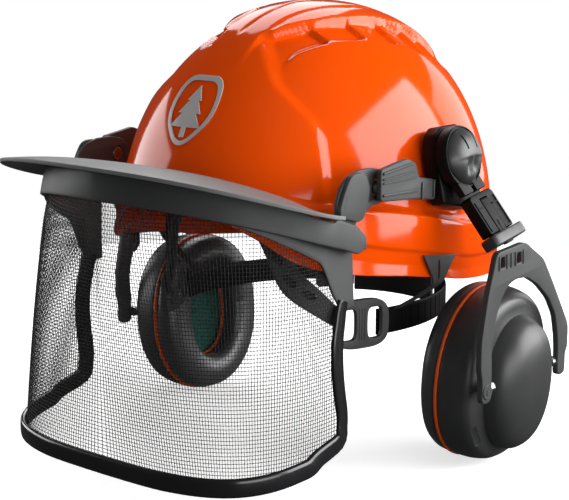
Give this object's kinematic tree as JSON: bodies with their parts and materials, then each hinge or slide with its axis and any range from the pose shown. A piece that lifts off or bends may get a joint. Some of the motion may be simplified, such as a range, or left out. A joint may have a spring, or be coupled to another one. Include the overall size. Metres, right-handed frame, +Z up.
{
  "type": "forestry helmet",
  "caption": "Orange forestry safety helmet with flip-up mesh visor and peak, and hinged ear muffs on telescoping fork arms.",
  "frame": {"origin": "middle of the head opening, level with the base of the dome, where a head seats in the harness", "axes": "+Z up, the wearer faces -Y, the wearer's left is +X"},
  "size_m": [0.3146, 0.3465, 0.2766],
  "materials": {
    "shell_orange": "glossy moulded, orange",
    "black_plastic": "fine satin, black",
    "grey_plastic": "fine grained, dark grey",
    "mesh_black": "woven black mesh",
    "rim_rubber": "satin black",
    "cushion_vinyl": "soft black vinyl over foam",
    "ring_orange": "orange moulded",
    "foam_green": "open-cell foam, dark green",
    "webbing": "woven webbing, black",
    "badge_silver": "silver, plain",
    "pin_steel": "plain"
  },
  "bodies": {
    "helmet": {"shell": "shell_orange", "badge": "badge_silver", "headband_front": "grey_plastic", "sweatband": "cushion_vinyl", "headband_side_left": "black_plastic", "headband_side_right": "black_plastic", "nape_pad": "grey_plastic", "nape_housing": "black_plastic", "buckle_left": "grey_plastic", "buckle_right": "grey_plastic", "hanger_left": "grey_plastic", "hanger_right": "grey_plastic", "crown_strap_long": "webbing", "crown_strap_cross_a": "webbing", "crown_strap_cross_b": "webbing", "harness_key_front_left": "grey_plastic", "harness_key_rear_left": "grey_plastic", "harness_key_front_right": "grey_plastic", "harness_key_rear_right": "grey_plastic", "visor_bracket_left": "grey_plastic", "visor_bracket_right": "grey_plastic", "visor_pin_left": "pin_steel", "visor_pin_right": "pin_steel", "adapter_left": "black_plastic", "adapter_right": "black_plastic"},
    "knob": {"nape_knob": "black_plastic"},
    "visor": {"visor_mesh": "mesh_black", "visor_frame": "grey_plastic", "visor_band": "grey_plastic", "peak": "grey_plastic", "visor_trim": "rim_rubber", "visor_lever_left": "grey_plastic", "visor_lever_right": "grey_plastic", "visor_tab_left": "grey_plastic", "visor_tab_right": "grey_plastic"},
    "hub_left": {"hub_left": "black_plastic", "hub_cap_left": "black_plastic"},
    "arm_left": {"arm_left": "black_plastic", "clamp_left": "grey_plastic"},
    "fork_left": {"fork_left": "grey_plastic", "slider_left": "black_plastic"},
    "cup_left": {"cup_left": "black_plastic", "cup_ring_left": "ring_orange", "cushion_left": "cushion_vinyl", "foam_left": "foam_green", "cup_pin_front_left": "pin_steel", "cup_pin_rear_left": "pin_steel"},
    "hub_right": {"hub_right": "black_plastic", "hub_cap_right": "black_plastic"},
    "arm_right": {"arm_right": "black_plastic", "clamp_right": "grey_plastic"},
    "fork_right": {"fork_right": "grey_plastic", "slider_right": "black_plastic"},
    "cup_right": {"cup_right": "black_plastic", "cup_ring_right": "ring_orange", "cushion_right": "cushion_vinyl", "foam_right": "foam_green", "cup_pin_front_right": "pin_steel", "cup_pin_rear_right": "pin_steel"}
  },
  "joints": [
    {"name": "visor_lift", "type": "hinge", "parent": "helmet", "child": "visor", "pos_m": [0, -0.072, 0.054], "axis": [-1, 0, 0], "range_deg": [0, 78]},
    {"name": "knob_turn", "type": "hinge", "parent": "helmet", "child": "knob", "pos_m": [0, 0.1142, -0.042], "axis": [0, 1, 0], "continuous": true},
    {"name": "hub_turn_left", "type": "hinge", "parent": "helmet", "child": "hub_left", "pos_m": [0.1126, -0.008, 0.064], "axis": [-0.976, 0, -0.218], "range_deg": [0, 20]},
    {"name": "arm_swing_left", "type": "hinge", "parent": "hub_left", "child": "arm_left", "pos_m": [0.1258, -0.0046, 0.042], "axis": [0, -1, 0], "range_deg": [-4, 25]},
    {"name": "fork_slide_left", "type": "slide", "parent": "arm_left", "child": "fork_left", "axis": [0.5799, 0.12, -0.8058], "range_m": [0, 0.022]},
    {"name": "cup_tilt_left", "type": "hinge", "parent": "fork_left", "child": "cup_left", "pos_m": [0.1446, 0.0205, -0.068], "axis": [0, 1, 0], "range_deg": [-8, 8]},
    {"name": "hub_turn_right", "type": "hinge", "parent": "helmet", "child": "hub_right", "pos_m": [-0.1126, -0.008, 0.064], "axis": [-0.976, 0, 0.218], "range_deg": [0, 20]},
    {"name": "arm_swing_right", "type": "hinge", "parent": "hub_right", "child": "arm_right", "pos_m": [-0.1258, -0.0046, 0.042], "axis": [0, 1, 0], "range_deg": [-4, 25]},
    {"name": "fork_slide_right", "type": "slide", "parent": "arm_right", "child": "fork_right", "axis": [-0.5799, 0.12, -0.8058], "range_m": [0, 0.022]},
    {"name": "cup_tilt_right", "type": "hinge", "parent": "fork_right", "child": "cup_right", "pos_m": [-0.1446, 0.0205, -0.068], "axis": [0, -1, 0], "range_deg": [-8, 8]}
  ]
}
